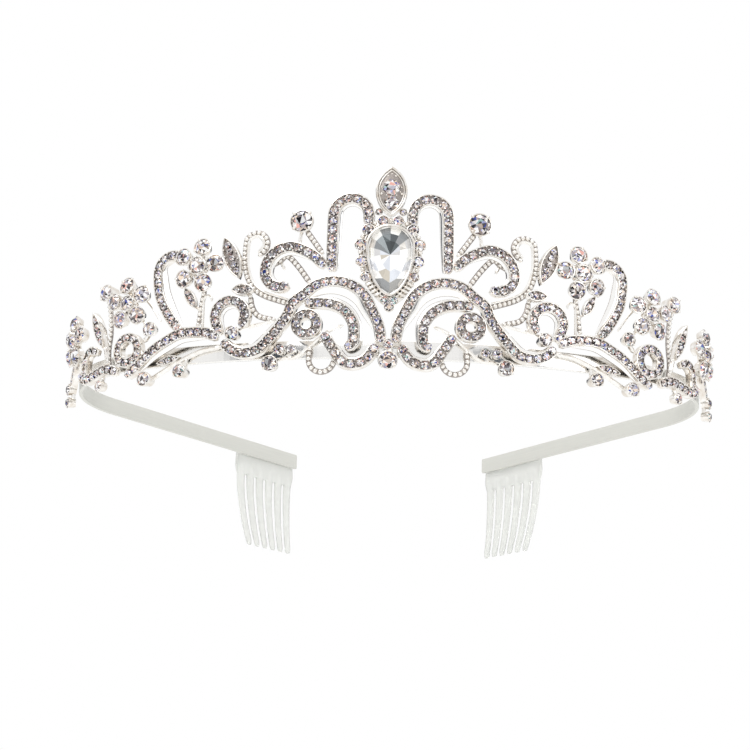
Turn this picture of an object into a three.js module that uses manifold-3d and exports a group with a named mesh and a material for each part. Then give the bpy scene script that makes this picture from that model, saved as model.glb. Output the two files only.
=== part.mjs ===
// Bridal tiara: a springy flat metal band on edge, open at the back, with a comb on each end and a
// front ornament of small stone-set castings and beaded wires, each one a separate soldered piece.
// Millimetres, +Z up. The front looks along -Y and the wearer's head fills the band.
// The origin is the middle of the head on the plane of the band's lower edge.
// Left and right are as seen from the front.
import * as THREE from 'three';
import { mergeVertices } from 'three/addons/utils/BufferGeometryUtils.js';
import Module from 'manifold-3d';

// ---- driving dimensions (mm, degrees) ----
const FRONT_RADIUS = 98; // the band's plan: a flat front arc,
const FRONT_ANGLE = 33; // ... up to this heading,
const SIDE_RADIUS = 41; // ... then a tight arc over each temple,
const SIDE_ANGLE = 118.7; // ... up to this heading,
const ARM_LENGTH = 85; // ... then a straight arm
const HEAD_DEPTH = 71; // from the front of the band to the middle of the head
const BAND_HEIGHT = 4;
const BAND_THICKNESS = 0.9;
const BAND_STEPS = 104;

const GAP = 0.35; // solder gap kept between neighbouring pieces
const PAVE_WIDTH = 2.4; // a channel with one row of stones
const BEAD_WIDTH = 1.1; // beaded wire
const WIRE_WIDTH = 0.8; // plain wire
const PATH_STEP = 2.3; // spacing of the sections along a curved piece
const ARC_STEP = 30; // degrees between the points of an arc, at most
const DISC_SIDES = 10;

// Layers, as distances out from the middle of the band.
const WIRES = [0.8, 1.5];
const CASTINGS = [1.9, 3.5];
const CUPS = [1.9, 3.9];
const THROUGH = [0.8, 3.9]; // a cup whose post reaches back to its wire

const COMB_WIDTH = 27;
const COMB_THICKNESS = 1.5;
const COMB_TOP = 3.4;
const COMB_SHOULDER = -5; // where the teeth start
const COMB_TIP = -24.5;
const COMB_TEETH = 6;
const COMB_TAPER = 0.82; // the row of tips is this much narrower than the spine
const COMB_HOLLOW = 2.6; // how far the tips curve in towards the head
const TOOTH_ROOT = 3.4;
const TOOTH_TIP = 1.9;
const TOOTH_LEVELS = 5;

const PEAR = { h: 23.5, tip: 13.5, radius: 4.3 }; // centre and tip of the big crystal
const PEAR_POINT = 1.2; // over 1 makes the lower half of the pear more pointed
const PEAR_TIP_SPREAD = 1.1; // how much faster the tip moves out than the sides as the pear grows
const PEAR_SIDES = 24;
const HALO_WIDTH = 3.1;
const MARQUISE = { top: 41.5, bottom: 30.5, width: 6.6, rim: 0.55, end: 1.1 };

const wasm = await Module();
wasm.setup();

// ---- materials ----
const silver = { color: 0xd9d6cf, roughness: 0.22, metalness: 1 };
const satinSilver = { color: 0xdad9d2, roughness: 0.45, metalness: 1 };
const crystal = { color: 0xeef1f6, roughness: 0.03, metalness: 0 };
const clearPlastic = { color: 0xe9ece6, roughness: 0.25, metalness: 0 };

// ---- the band's plan ----
const toRadians = THREE.MathUtils.degToRad;
const frontLength = FRONT_RADIUS * toRadians(FRONT_ANGLE);
const sideLength = SIDE_RADIUS * toRadians(SIDE_ANGLE - FRONT_ANGLE);
const halfLength = frontLength + sideLength + ARM_LENGTH;

// The point and outward normal at an arc length s along the band, from the front's middle.
function bandPoint(s) {
  const side = s < 0 ? -1 : 1;
  const run = Math.abs(s);
  const front = Math.min(run, frontLength) / FRONT_RADIUS;
  const turned = Math.min(Math.max(run - frontLength, 0), sideLength) / SIDE_RADIUS;
  const heading = front + turned;
  const straight = Math.max(run - frontLength - sideLength, 0);
  const x = FRONT_RADIUS * Math.sin(front)
    + SIDE_RADIUS * (Math.sin(heading) - Math.sin(front)) + straight * Math.cos(heading);
  const y = FRONT_RADIUS * (1 - Math.cos(front))
    + SIDE_RADIUS * (Math.cos(front) - Math.cos(heading)) + straight * Math.sin(heading);
  return {
    x: side * x, y: y - HEAD_DEPTH,
    normalX: side * Math.sin(heading), normalY: -Math.cos(heading),
  };
}

// Pieces are drawn flat: s along the band, h up, t out of it. This bends them round the band.
function wrapRound(geometry) {
  const position = geometry.attributes.position;
  for (let i = 0; i < position.count; i++) {
    const at = bandPoint(position.getX(i));
    const t = position.getZ(i);
    position.setXYZ(i, at.x + at.normalX * t, at.y + at.normalY * t, position.getY(i));
  }
  geometry.computeVertexNormals();
  return geometry;
}

// A round stretch of a path: points about a centre between two angles, in degrees.
function arc([s, h], radius, from, to) {
  const steps = Math.ceil(Math.abs(to - from) / ARC_STEP);
  return Array.from({ length: steps + 1 }, (_, i) => {
    const angle = toRadians(from + (to - from) * i / steps);
    return [s + radius * Math.cos(angle), h + radius * Math.sin(angle)];
  });
}

// ---- flat outlines; grow makes an outline wider all round ----
function pathOutline(points, width, grow) {
  const curve = new THREE.SplineCurve(points.map(([s, h]) => new THREE.Vector2(s, h)));
  const steps = Math.max(2, Math.round(curve.getLength() / PATH_STEP));
  const half = width / 2 + grow;
  const upper = [];
  const lower = [];
  for (let i = 0; i <= steps; i++) {
    const at = curve.getPointAt(i / steps);
    const along = curve.getTangentAt(i / steps);
    const across = new THREE.Vector2(-along.y, along.x).multiplyScalar(half);
    upper.push(at.clone().add(across));
    lower.push(at.clone().sub(across));
  }
  const start = curve.getPointAt(0).addScaledVector(curve.getTangentAt(0), -half);
  const end = curve.getPointAt(1).addScaledVector(curve.getTangentAt(1), half);
  return new THREE.Shape([start, ...lower, end, ...upper.reverse()]);
}

function discOutline([s, h], radius, grow) {
  return new THREE.Shape().absarc(s, h, radius + grow, 0, Math.PI * 2, false);
}

// A navette: two arcs that meet in points at both ends.
function navetteOutline(from, to, width, grow) {
  const tip = new THREE.Vector2(...from);
  const along = new THREE.Vector2(...to).sub(tip);
  const length = along.length();
  along.normalize();
  const across = new THREE.Vector2(-along.y, along.x);
  const halfWidth = width / 2 + grow;
  const run = length + 2 * grow;
  const start = tip.clone().addScaledVector(along, -grow);
  const edge = (sign) => [0.16, 0.36, 0.64, 0.84].map((u) => start.clone()
    .addScaledVector(along, u * run)
    .addScaledVector(across, sign * halfWidth * Math.sin(Math.PI * u) ** 0.8));
  const end = start.clone().addScaledVector(along, run);
  return new THREE.Shape([start, ...edge(-1), end, ...edge(1).reverse()]);
}

// A pear: a round head above, full sides that close in to a tip below.
function pearOutline(grow) {
  const radius = PEAR.radius + grow;
  const drop = PEAR.h - PEAR.tip + PEAR_TIP_SPREAD * grow;
  const points = [];
  for (let i = 0; i < PEAR_SIDES; i++) {
    const angle = Math.PI * (2 * i / PEAR_SIDES - 0.5);
    const across = Math.cos(angle);
    const up = Math.sin(angle);
    const narrowed = Math.sign(across) * Math.abs(across) ** PEAR_POINT;
    points.push(up >= 0 ? new THREE.Vector2(radius * across, PEAR.h + radius * up)
      : new THREE.Vector2(radius * narrowed, PEAR.h + drop * up));
  }
  return new THREE.Shape(points);
}

// ---- flat solids ----
function solidOf(geometry) {
  geometry.deleteAttribute('normal');
  geometry.deleteAttribute('uv');
  const merged = mergeVertices(geometry, 1e-4);
  return new wasm.Manifold(new wasm.Mesh({
    numProp: 3,
    vertProperties: merged.attributes.position.array,
    triVerts: new Uint32Array(merged.index.array),
  }));
}

function slab(outline, [back, front]) {
  return solidOf(new THREE.ExtrudeGeometry(outline, {
    depth: front - back, bevelEnabled: false, curveSegments: DISC_SIDES / 2,
  }).translate(0, 0, back));
}

// Marks are what a piece is made of. side mirrors them; grow widens them by the solder gap.
const path = (points, width = PAVE_WIDTH, layer = CASTINGS) => (side, grow) => slab(
  pathOutline(points.map(([s, h]) => [side * s, h]), width, grow), spread(layer, grow));

const disc = ([s, h], radius, layer = CUPS) => (side, grow) => slab(
  discOutline([side * s, h], radius, grow), spread(layer, grow));

const navette = ([s0, h0], [s1, h1], width, layer = CASTINGS) => (side, grow) => slab(
  navetteOutline([side * s0, h0], [side * s1, h1], width, grow), spread(layer, grow));

const ring = (centre, radius, hole, layer = CASTINGS) => (side, grow) => disc(
  centre, radius, layer)(side, grow).subtract(disc(centre, hole - 2 * grow, spread(layer, GAP))(side, 0));

const pear = (grown, layer) => (side, grow) => slab(pearOutline(grown + grow), spread(layer, grow));

const cutOut = (body, hole) => (side, grow) => (
  grow ? body(side, grow) : body(side, grow).subtract(hole(side, grow)));

function spread([back, front], grow) {
  return [back - grow, front + grow];
}

// Five round petals on short arms about a middle cup.
function flower([s, h], reach, petal, middle, firstAngle) {
  const marks = [disc([s, h], middle)];
  for (let i = 0; i < 5; i++) {
    const angle = toRadians(firstAngle - 72 * i);
    const out = [s + reach * Math.cos(angle), h + reach * Math.sin(angle)];
    marks.push(disc(out, petal), path([[s, h], out], 1.4, CASTINGS));
  }
  return marks;
}

// ---- the drawing of the ornament, one side, most important piece first ----
// Round stretches are arcs; the other points are set on a half-millimetre grid.
const middlePieces = {
  centre_cup: [disc([0, -1], 2.1), disc([0, 2.5], 1.2), path([[0, -0.5], [0, 2.5]], 1.6)],
  halo_setting: [
    cutOut(pear(HALO_WIDTH, CUPS), pear(GAP, spread(CUPS, 1))),
    disc([-1, 12], 1.1), disc([1, 12], 1.1), disc([0, 10.5], 1.1),
  ],
  marquise_setting: [
    navette([0, MARQUISE.bottom], [0, MARQUISE.top], MARQUISE.width, [1.9, 2.7]),
    cutOut(
      navette([0, MARQUISE.bottom], [0, MARQUISE.top], MARQUISE.width, [2.6, 3.7]),
      navette([0, MARQUISE.bottom + MARQUISE.end], [0, MARQUISE.top - MARQUISE.end],
        MARQUISE.width - 2 * MARQUISE.rim, [2.6, 4]),
    ),
    disc([-2.5, 31.5], 0.9), disc([2.5, 31.5], 0.9),
  ],
};

const sidePieces = {
  s_scroll: [path([[1.5, 3], [2, 6.5], [3.5, 10], ...arc([11.5, 8], 8.2, 140, 40),
    [20, 11.5], [21, 9], [23, 6], ...arc([30, 7], 6, 235, 330)])],
  arch: [path([[12, 18.5], [12, 26], ...arc([8.2, 30.8], 3.7, 0, 180), [4.7, 28.5]])],
  c_scroll: [path([[13.5, 19.5], [16, 22], ...arc([21, 18.8], 5.2, 105, 10),
    ...arc([22.8, 18.6], 3.4, 345, 240)])],
  scroll_ring: [ring([17, 7], 3.3, 1)],
  inner_scroll: [path([[17.5, 11.5], [14.5, 11.5], ...arc([13.4, 5], 6.4, 105, 190),
    [7.5, 2.5], [9, 2]])],
  lower_lobe: [path([[13.5, 5], [11, 1], ...arc([7.3, 2.4], 4.2, 300, 215), [2.5, 2.5]])],
  vine: [path([[36.5, 5], [39, 6], ...arc([43.5, -3], 9.5, 100, 60), [52.5, 3], [57, -0.5],
    [59.5, -1.5]])],
  spiral: [path([[36, 5.5], ...arc([33.8, 9.4], 3.4, -20, 200), [31.5, 7]])],
  side_loop: [path([[46, 7.5], [49, 11.5], [51, 15.5], ...arc([48, 20.4], 3.7, -10, 130)])],
  tall_leaf: [navette([35.5, 27], [32, 17.5], 3.7)],
  small_navette: [navette([33.5, 15], [28.5, 15], 2.6)],
  inner_flower: [
    ...flower([41.5, 21], 3.9, 1.6, 1.8, 105),
    path([[42, 19.5], [41, 16], [41.5, 12.5], [42, 8.5]], BEAD_WIDTH, WIRES),
    disc([41, 19], 0.9, THROUGH),
    navette([45.5, 17], [42.5, 12], 2.2, WIRES),
    path([[42.5, 12.5], [41.5, 11]], WIRE_WIDTH, WIRES),
  ],
  outer_flower: [
    ...flower([59, 14.5], 3.7, 1.6, 1.6, 85),
    path([[56.5, 12], [54.5, 9.5], [53, 8]], 1.2), disc([53, 8], 1.6),
    path([[53, 8], [54, 6.5], [55, 5.5]], 1.2),
  ],
  bud_pin: [
    disc([66, 18], 2, THROUGH),
    path([[68.5, 18.5], [67, 14], [66.5, 9.5], [67, 5], [66.5, 1.5]], BEAD_WIDTH, WIRES),
  ],
  ring_link: [ring([59, 4], 3.9, 1.75)],
  outer_leaf: [
    navette([71, 14.5], [66.5, 5.5], 2.7),
    path([[66.5, 6], [66, 4.5], [65.5, 2.5]], 1.2),
  ],
  low_vine: [
    path([[62, -0.5], [65.5, 0.5], [70.5, -0.5], [73.5, -0.5], [76.5, 1]]),
    path([[69, 5], ...arc([71, 3], 2.7, 100, 20), [74, 0.5]], 1.8),
    disc([67, -3], 1.4), path([[67, -0.5], [67, -3]], 1.2),
  ],
  end_flower: [
    ...flower([80.5, 9.5], 3.9, 1.6, 1.7, 95),
    path([[79.5, 6.5], [80.5, 3.5], [82, 1], [83, -1]], 1.6),
    disc([83, -1], 1.4), disc([83, -4], 1.3), path([[83, -1], [83, -4]], 1),
  ],
  twig: [
    path([[9.5, 7], [13, 5.5], [19, 0.5], [22, 0], [24.5, -0.5]], WIRE_WIDTH, WIRES),
    disc([24.5, -1.5], 1.8, THROUGH), disc([22.5, 1.5], 1.2, THROUGH),
    disc([20, 1.5], 1, THROUGH),
  ],
  bead_loop: [path([[16.5, 2], ...arc([14, -0.4], 2.7, 0, -180)], BEAD_WIDTH, WIRES)],
  curl_wire: [
    path([[17, 16.5], [19.5, 20], [22, 22.5], [23.5, 21.5], [25.5, 20.5]], BEAD_WIDTH, WIRES),
    path([[23.5, 21.5], [22.5, 19.5]], WIRE_WIDTH, WIRES),
  ],
  swan_wire: [path([[28, 23], ...arc([29, 25.5], 2.5, 200, 20), [31.5, 21], [30, 16.5],
    [27, 14], [21.5, 12]], BEAD_WIDTH, WIRES)],
  berry_pin: [
    disc([33, 5.5], 1.6, THROUGH),
    path([[34, 6.5], [28.5, 7.5], [23.5, 8.5]], WIRE_WIDTH, WIRES),
    path([[24.5, 8.5], [28, 9.5], [29.5, 11.5], [30, 14]], BEAD_WIDTH, WIRES),
  ],
  ball_pin: [
    disc([18.5, 29.5], 2.6, THROUGH),
    path([[19, 28], [19.5, 25]], WIRE_WIDTH, WIRES),
    path([[18, 28], [14.5, 23]], BEAD_WIDTH, WIRES),
  ],
  drop_twig: [
    path([[36.5, 3], [41, 2.5], [47, 0.3], [54, -3]], 1.2, WIRES),
    disc([45, -2], 1.6, THROUGH), path([[44.5, 1.5], [45, -1.5]], 1, WIRES),
    disc([54, -3], 1.7, THROUGH),
    path([[46, 1], [49, 1.5], [51.5, 0.3]], 1.8, WIRES),
  ],
};

// ---- meshes ----
const tiara = new THREE.Group();

function addMesh(name, geometry, finish) {
  const mesh = new THREE.Mesh(geometry, new THREE.MeshStandardMaterial(finish));
  mesh.name = name;
  tiara.add(mesh);
}

function geometryOf(solid) {
  const { vertProperties, triVerts } = solid.getMesh();
  const geometry = new THREE.BufferGeometry();
  geometry.setAttribute('position', new THREE.BufferAttribute(new Float32Array(vertProperties), 3));
  geometry.setIndex(new THREE.BufferAttribute(new Uint32Array(triVerts), 1));
  return geometry;
}

// Earlier pieces keep their place: each later one is cut back from them by the solder gap.
const placed = [];

function addPiece(name, marks, side) {
  let solid = marks.map((mark) => mark(side, 0)).reduce((body, mark) => body.add(mark));
  for (const other of placed) solid = solid.subtract(other);
  const largest = solid.decompose().reduce((a, b) => (a.volume() > b.volume() ? a : b));
  addMesh(name, wrapRound(geometryOf(largest)), silver);
  placed.push(...marks.map((mark) => mark(side, GAP)));
}

for (const [name, marks] of Object.entries(middlePieces)) addPiece(name, marks, 1);
for (const [name, marks] of Object.entries(sidePieces)) {
  addPiece(`left_${name}`, marks, -1);
  addPiece(`right_${name}`, marks, 1);
}

// The band: a flat strip bent on edge.
addMesh('headband', wrapRound(new THREE.BoxGeometry(
  2 * halfLength, BAND_HEIGHT, BAND_THICKNESS, BAND_STEPS, 1, 1,
).translate(0, BAND_HEIGHT / 2, 0)), satinSilver);

// The big pear crystal, thickest at its girdle inside the halo.
const crystalBevel = 1.5;
addMesh('pear_crystal', wrapRound(new THREE.ExtrudeGeometry(pearOutline(0), {
  depth: 0.5, bevelEnabled: true, bevelThickness: crystalBevel, bevelSize: crystalBevel,
  bevelOffset: -crystalBevel, bevelSegments: 1, curveSegments: DISC_SIDES,
}).translate(0, 0, 3.7)), crystal);

// Round stones of the marquise: a flat table, a girdle and a flat back.
function roundStone(radius, back, s, h) {
  const profile = [[0, 0], [0.6 * radius, 0], [radius, 0.6], [0.6 * radius, 1.3], [0, 1.3]]
    .map(([r, t]) => new THREE.Vector2(r, t));
  return wrapRound(new THREE.LatheGeometry(profile, DISC_SIDES).rotateX(Math.PI / 2)
    .translate(s, h, back));
}
addMesh('marquise_upper_stone', roundStone(1.8, 3.05, 0, 37), crystal);
addMesh('marquise_lower_stone', roundStone(1.3, 3.05, 0, 33.5), crystal);

// A comb: a spine along the outside of the arm's end, with tapering teeth hollowed to the head.
function combOutline(middle) {
  const half = COMB_WIDTH / 2;
  const pitch = (COMB_WIDTH - TOOTH_ROOT) / (COMB_TEETH - 1);
  const points = [[-half, COMB_TOP], [-half - 0.5, COMB_SHOULDER / 2]];
  for (let tooth = 0; tooth < COMB_TEETH; tooth++) {
    const root = (tooth - (COMB_TEETH - 1) / 2) * pitch;
    const down = [];
    for (let level = 0; level <= TOOTH_LEVELS; level++) {
      const drop = level / TOOTH_LEVELS;
      const centre = root * THREE.MathUtils.lerp(1, COMB_TAPER, drop ** 1.6);
      const width = THREE.MathUtils.lerp(TOOTH_ROOT, TOOTH_TIP, drop);
      down.push([centre, width / 2, THREE.MathUtils.lerp(COMB_SHOULDER, COMB_TIP, drop)]);
    }
    points.push(...down.map(([s, w, h]) => [s - w, h]));
    points.push(...down.reverse().map(([s, w, h]) => [s + w, h]));
  }
  points.push([half + 0.5, COMB_SHOULDER / 2], [half, COMB_TOP]);
  return new THREE.Shape(points.map(([s, h]) => new THREE.Vector2(middle + s, h)));
}

for (const [name, side] of [['left_comb', -1], ['right_comb', 1]]) {
  const middle = side * (halfLength - COMB_WIDTH / 2);
  const geometry = new THREE.ExtrudeGeometry(combOutline(middle), {
    depth: COMB_THICKNESS, bevelEnabled: false,
  }).translate(0, 0, BAND_THICKNESS / 2 + GAP);
  const position = geometry.attributes.position;
  for (let i = 0; i < position.count; i++) {
    const drop = Math.max(0, (COMB_SHOULDER - position.getY(i)) / (COMB_SHOULDER - COMB_TIP));
    position.setZ(i, position.getZ(i) - COMB_HOLLOW * drop ** 2);
  }
  addMesh(name, wrapRound(geometry), clearPlastic);
}

export default tiara;
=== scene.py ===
"""Bridal tiara: a sprung band on edge with stone-set castings, beaded wires, crystals and two combs.

Run as a script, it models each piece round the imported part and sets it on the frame.
"""

import math

import bpy
from mathutils import Matrix, Vector


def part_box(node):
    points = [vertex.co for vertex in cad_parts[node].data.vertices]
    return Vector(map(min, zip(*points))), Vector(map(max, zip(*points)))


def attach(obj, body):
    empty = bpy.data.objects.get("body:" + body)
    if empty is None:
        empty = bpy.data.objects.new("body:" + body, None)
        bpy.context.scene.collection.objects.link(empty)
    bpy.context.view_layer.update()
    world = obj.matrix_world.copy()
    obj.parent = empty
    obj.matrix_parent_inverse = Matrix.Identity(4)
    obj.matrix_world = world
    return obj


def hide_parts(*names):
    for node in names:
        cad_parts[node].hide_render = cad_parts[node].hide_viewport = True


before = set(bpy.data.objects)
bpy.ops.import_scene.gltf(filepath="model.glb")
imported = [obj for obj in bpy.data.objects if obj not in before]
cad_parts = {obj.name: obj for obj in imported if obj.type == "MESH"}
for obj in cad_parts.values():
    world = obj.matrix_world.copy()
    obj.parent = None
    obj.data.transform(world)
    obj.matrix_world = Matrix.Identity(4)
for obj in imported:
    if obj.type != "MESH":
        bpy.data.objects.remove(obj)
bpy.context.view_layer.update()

bl_info = {
    "name": "Bridal tiara",
    "version": (1, 0, 0),
    "blender": (4, 5, 0),
    "location": "3D View > Sidebar > Tiara",
    "description": "Models a stone-set bridal tiara, piece by piece, round its packed part",
    "category": "Object",
}

MM = 0.001  # metres in a millimetre; the drawing below is in millimetres

# ---------------------------------------------------------------- the drawing
# Right half, drawn flat: s along the band from the front's middle, h above the band's lower edge.
# The third measure, out, is the distance from the middle of the band towards the viewer.
# Round stretches are arcs; the other points are set on a half-millimetre grid.
ARC_STEP = 30  # degrees between the points of an arc, at most


def arc(s, h, radius, start, end):
    """A round stretch of a path: points about a centre between two angles, in degrees."""
    steps = math.ceil(abs(end - start) / ARC_STEP)
    angles = (math.radians(start + (end - start) * i / steps) for i in range(steps + 1))
    return tuple((s + radius * math.cos(a), h + radius * math.sin(a)) for a in angles)


SCROLLS = {
    "s_scroll": ((1.5, 3), (2, 6.5), (3.5, 10), *arc(11.5, 8, 8.2, 140, 40),
                 (20, 11.5), (21, 9), (23, 6), *arc(30, 7, 6, 235, 330)),
    "arch": ((12, 18.5), (12, 26), *arc(8.2, 30.8, 3.7, 0, 180), (4.7, 28.5)),
    "c_scroll": ((13.5, 19.5), (16, 22), *arc(21, 18.8, 5.2, 105, 10),
                 *arc(22.8, 18.6, 3.4, 345, 240)),
    "inner_scroll": ((17.5, 11.5), (14.5, 11.5), *arc(13.4, 5, 6.4, 105, 190), (7.5, 2.5), (9, 2)),
    "lower_lobe": ((13.5, 5), (11, 1), *arc(7.3, 2.4, 4.2, 300, 215), (2.5, 2.5)),
    "vine": ((36.5, 5), (39, 6), *arc(43.5, -3, 9.5, 100, 60), (52.5, 3), (57, -0.5),
             (59.5, -1.5)),
    "spiral": ((36, 5.5), *arc(33.8, 9.4, 3.4, -20, 200), (31.5, 7)),
    "side_loop": ((46, 7.5), (49, 11.5), (51, 15.5), *arc(48, 20.4, 3.7, -10, 130)),
}
# Polished flanges beside the rows: where along the row they start and end, from 0 to 1,
# the side they stand on (1 is left of the run) and their width
FLANGES = {
    "s_scroll": ((0.04, 0.55, -1, 1.9), (0.6, 1.0, 1, 1.0)),
    "arch": ((0.0, 0.95, 1, 0.8),),
    "c_scroll": ((0.1, 0.97, -1, 0.9),),
    "inner_scroll": ((0.1, 0.97, -1, 0.7),),
    "lower_lobe": ((0.1, 0.97, -1, 0.6),),
    "vine": ((0.05, 0.9, -1, 1.2),),
    "spiral": ((0.0, 0.75, 1, 0.9),),
    "side_loop": ((0.0, 0.8, 1, 1.5),),
}
# centre, outer radius, hole radius
RINGS = {"scroll_ring": ((17, 7), 3.3, 1.0), "ring_link": ((59, 4), 3.9, 1.75)}
# one tip, the other tip, width, stones
LEAVES = {
    "tall_leaf": ((35.5, 27), (32, 17.5), 3.7, 5),
    "small_navette": ((33.5, 15), (28.5, 15), 2.6, 3),
    "outer_leaf": ((71, 14.5), (66.5, 5.5), 2.7, 4),
}
# centre, reach of the petals, petal radius, middle radius, angle of the first petal
FLOWERS = {
    "inner_flower": ((41.5, 21), 3.9, 1.6, 1.8, 105),
    "outer_flower": ((59, 14.5), 3.7, 1.6, 1.6, 85),
    "end_flower": ((80.5, 9.5), 3.9, 1.6, 1.7, 95),
}
SWAN = ((28, 23), *arc(29, 25.5, 2.5, 200, 20), (31.5, 21), (30, 16.5), (27, 14), (21.5, 12))
PEAR_CENTRE = 23.5
PEAR_TIP = 13.5
PEAR_RADIUS = 4.3
PEAR_POINT = 1.2  # over 1 makes the lower half of the pear more pointed
PEAR_TIP_SPREAD = 1.1  # how much faster the tip moves out than the sides as the pear grows
# The halo's cups on each side: angle up from the pear's middle, radius
HALO_CUPS = ((75, 1.25), (40, 1.35), (5, 1.4), (-15, 1.35), (-33, 1.25), (-78, 1.0))
HALO_REACH = 1.7  # how far outside the crystal the cups' middles stand
HALO_GRAINS = (58, 22, -5, -24)

MARQUISE = ((0, 41.5), (0, 30.5), 6.6)  # tip, foot, width

BACK = 1.9  # how far out the castings' backs stand
DEPTH = 1.6  # how thick a casting is
CUP_FRONT = 3.7  # how far out most cups' rims stand
WIRE_BACK = 0.9  # how far out the pieces that stand on a wire start
WIRE_OUT = 1.15  # how far out the middle of a wire stands
PATH_STEP = 0.25  # spacing of the points along a bent path
BAR_STEP = 0.7  # spacing of the cuts along a bar that will be bent
NEAR = 0.01  # two measures closer than this count as the same
SMOOTH_ANGLE = 42  # degrees; sharper edges than this stay sharp

COMB_WIDTH = 27
COMB_SHOULDER = -5  # where the teeth start
COMB_TAPER = 0.82  # the row of tips is this much narrower than the spine
TOOTH_ROOT = 3.4

# ---------------------------------------------------------------- the crystals' painted reflections, and the room
CRYSTAL_SIDES = 16
CRYSTAL_WAIST = 21.6  # the height that the crystal's facets close towards
# Painted reflections on the facets of the pear crystal, from 0 dark to 1 white, round from its head,
# right side first
INNER_FACETS = (
    0.02, 0.14, 0.70, 0.66, 0.74, 0.97, 1.00, 0.95, 0.72, 0.98, 0.58, 0.60, 0.76, 0.34, 0.24, 0.05)
MIDDLE_FACETS = (
    0.10, 0.40, 0.62, 0.92, 0.74, 1.00, 0.98, 0.76, 0.58, 1.00, 0.98, 0.95, 0.66, 0.36, 0.24, 0.14)
OUTER_FACETS = (
    0.90, 0.36, 0.66, 0.95, 0.92, 0.70, 0.98, 0.46, 0.42, 0.96, 0.72, 0.98, 0.88, 0.62, 0.92, 0.34)
CRYSTAL_PAINTED_REFLECTIONS = (
    (0.00, (0.012, 0.018, 0.022)), (0.22, (0.115, 0.14, 0.15)), (0.42, (0.30, 0.31, 0.32)),
    (0.58, (0.60, 0.55, 0.47)), (0.74, (0.72, 0.76, 0.84)), (0.88, (0.90, 0.90, 0.86)),
    (1.00, (0.99, 0.99, 1.0)),
)
# Painted reflections and glints on the small stones' facets: where each tone starts, as a share of all
# facets
STONE_PAINTED_REFLECTIONS = (
    (0.00, (0.008, 0.008, 0.012)), (0.09, (0.09, 0.08, 0.09)), (0.19, (0.26, 0.21, 0.19)),
    (0.29, (0.40, 0.35, 0.37)), (0.38, (0.60, 0.49, 0.41)), (0.46, (0.50, 0.49, 0.56)),
    (0.53, (0.76, 0.72, 0.70)), (0.62, (1.0, 1.0, 1.0)), (0.80, (0.90, 0.74, 0.60)),
    (0.87, (0.06, 0.09, 0.40)), (0.895, (0.44, 0.46, 0.76)), (0.92, (0.84, 0.44, 0.38)),
    (0.95, (0.42, 0.62, 0.60)), (0.965, (1.0, 1.0, 1.0)),
)
# Two dark screens in the pale room, by how far sideways one looks
SCREENS = ((0.36, (0, 0, 0)), (0.44, (1, 1, 1)), (0.64, (1, 1, 1)), (0.72, (0, 0, 0)))


# ---------------------------------------------------------------- settings
def length_setting(name, description, default, least=0.0):
    """A length setting, in metres."""
    return bpy.props.FloatProperty(
        name=name, description=description, default=default, min=least, unit="LENGTH")


def colour_setting(name, description, default):
    """A colour setting."""
    return bpy.props.FloatVectorProperty(
        name=name, description=description, default=default, subtype="COLOR", min=0, max=1)


class TiaraSizes(bpy.types.PropertyGroup):
    """Sizes that a maker would change."""

    front_radius: length_setting("Front radius", "Radius of the band's flat front arc", 0.098, 0.05)
    front_angle: bpy.props.FloatProperty(
        name="Front angle", description="Heading at which the flat front arc ends",
        default=math.radians(33), subtype="ANGLE")
    side_radius: length_setting("Side radius", "Radius of the band over each temple", 0.041, 0.01)
    side_angle: bpy.props.FloatProperty(
        name="Side angle", description="Heading at which the straight arm starts",
        default=math.radians(118.7), subtype="ANGLE")
    arm_length: length_setting("Arm length", "Length of each straight arm", 0.085)
    band_height: length_setting(
        "Band height", "Height of the band's strip",
        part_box("headband")[1].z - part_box("headband")[0].z)
    band_thickness: length_setting("Band thickness", "Thickness of the band's strip", 0.0009)
    channel_width: length_setting(
        "Channel width", "Width of a casting that holds one row of stones",
        0.0024)
    rim: length_setting("Rim", "Width of the bright rim along a casting", 0.00026)
    seat_depth: length_setting("Seat depth", "How deep the stones' seat is cut", 0.00045)
    stone_pitch: length_setting("Stone pitch", "Spacing of the small stones along a casting", 0.00190)
    stone_radius: length_setting("Stone radius", "Radius of the small stones along a casting", 0.00095)
    bead_radius: length_setting("Bead radius", "Radius of the beads on a beaded wire", 0.00054)
    bead_pitch: length_setting("Bead pitch", "Spacing of the beads on a beaded wire", 0.00108)
    grain_radius: length_setting(
        "Grain radius", "Radius of the tiny grains that hold the small stones",
        0.00024)


class TiaraColours(bpy.types.PropertyGroup):
    """Colours of the finishes."""

    silver: colour_setting("Silver", "Bright plating on rims and high places", (0.93, 0.92, 0.90))
    silver_warm: colour_setting(
        "Warm silver", "Champagne cast of the plating in its low places", (0.62, 0.54, 0.45))
    # The seat colour is painted shade. It darkens the bottoms of the settings, the leaves' floors, the
    # strips under the beads and the flanges' rounded edges.
    seat: colour_setting("Seat", "Dull metal at the bottom of the settings", (0.40, 0.36, 0.335))
    satin: colour_setting("Satin", "Satin metal of the band's arms", (0.69, 0.69, 0.645))
    plastic: colour_setting("Comb plastic", "Clear moulded plastic of the combs", (0.95, 0.955, 0.93))
    floor: colour_setting("Floor", "Plain pale floor", (0.90, 0.90, 0.89))


def sizes():
    """The sizes set in the panel."""
    return bpy.context.scene.tiara_sizes


def colours():
    """The colours set in the panel."""
    return bpy.context.scene.tiara_colours


# ---------------------------------------------------------------- finishes
# The frame brings materials named after its slots: band_metal, stone_setting, beaded_wire,
# crystal and comb_plastic. A finish here needs another name, or the frame's would be found.
def wire_up(tree, target, inputs):
    """Sets each input of a node to a value, or links it if it is given a node's output."""
    for socket, value in inputs.items():
        if isinstance(value, bpy.types.NodeSocket):
            tree.links.new(value, target.inputs[socket])
        else:
            target.inputs[socket].default_value = value


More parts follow.
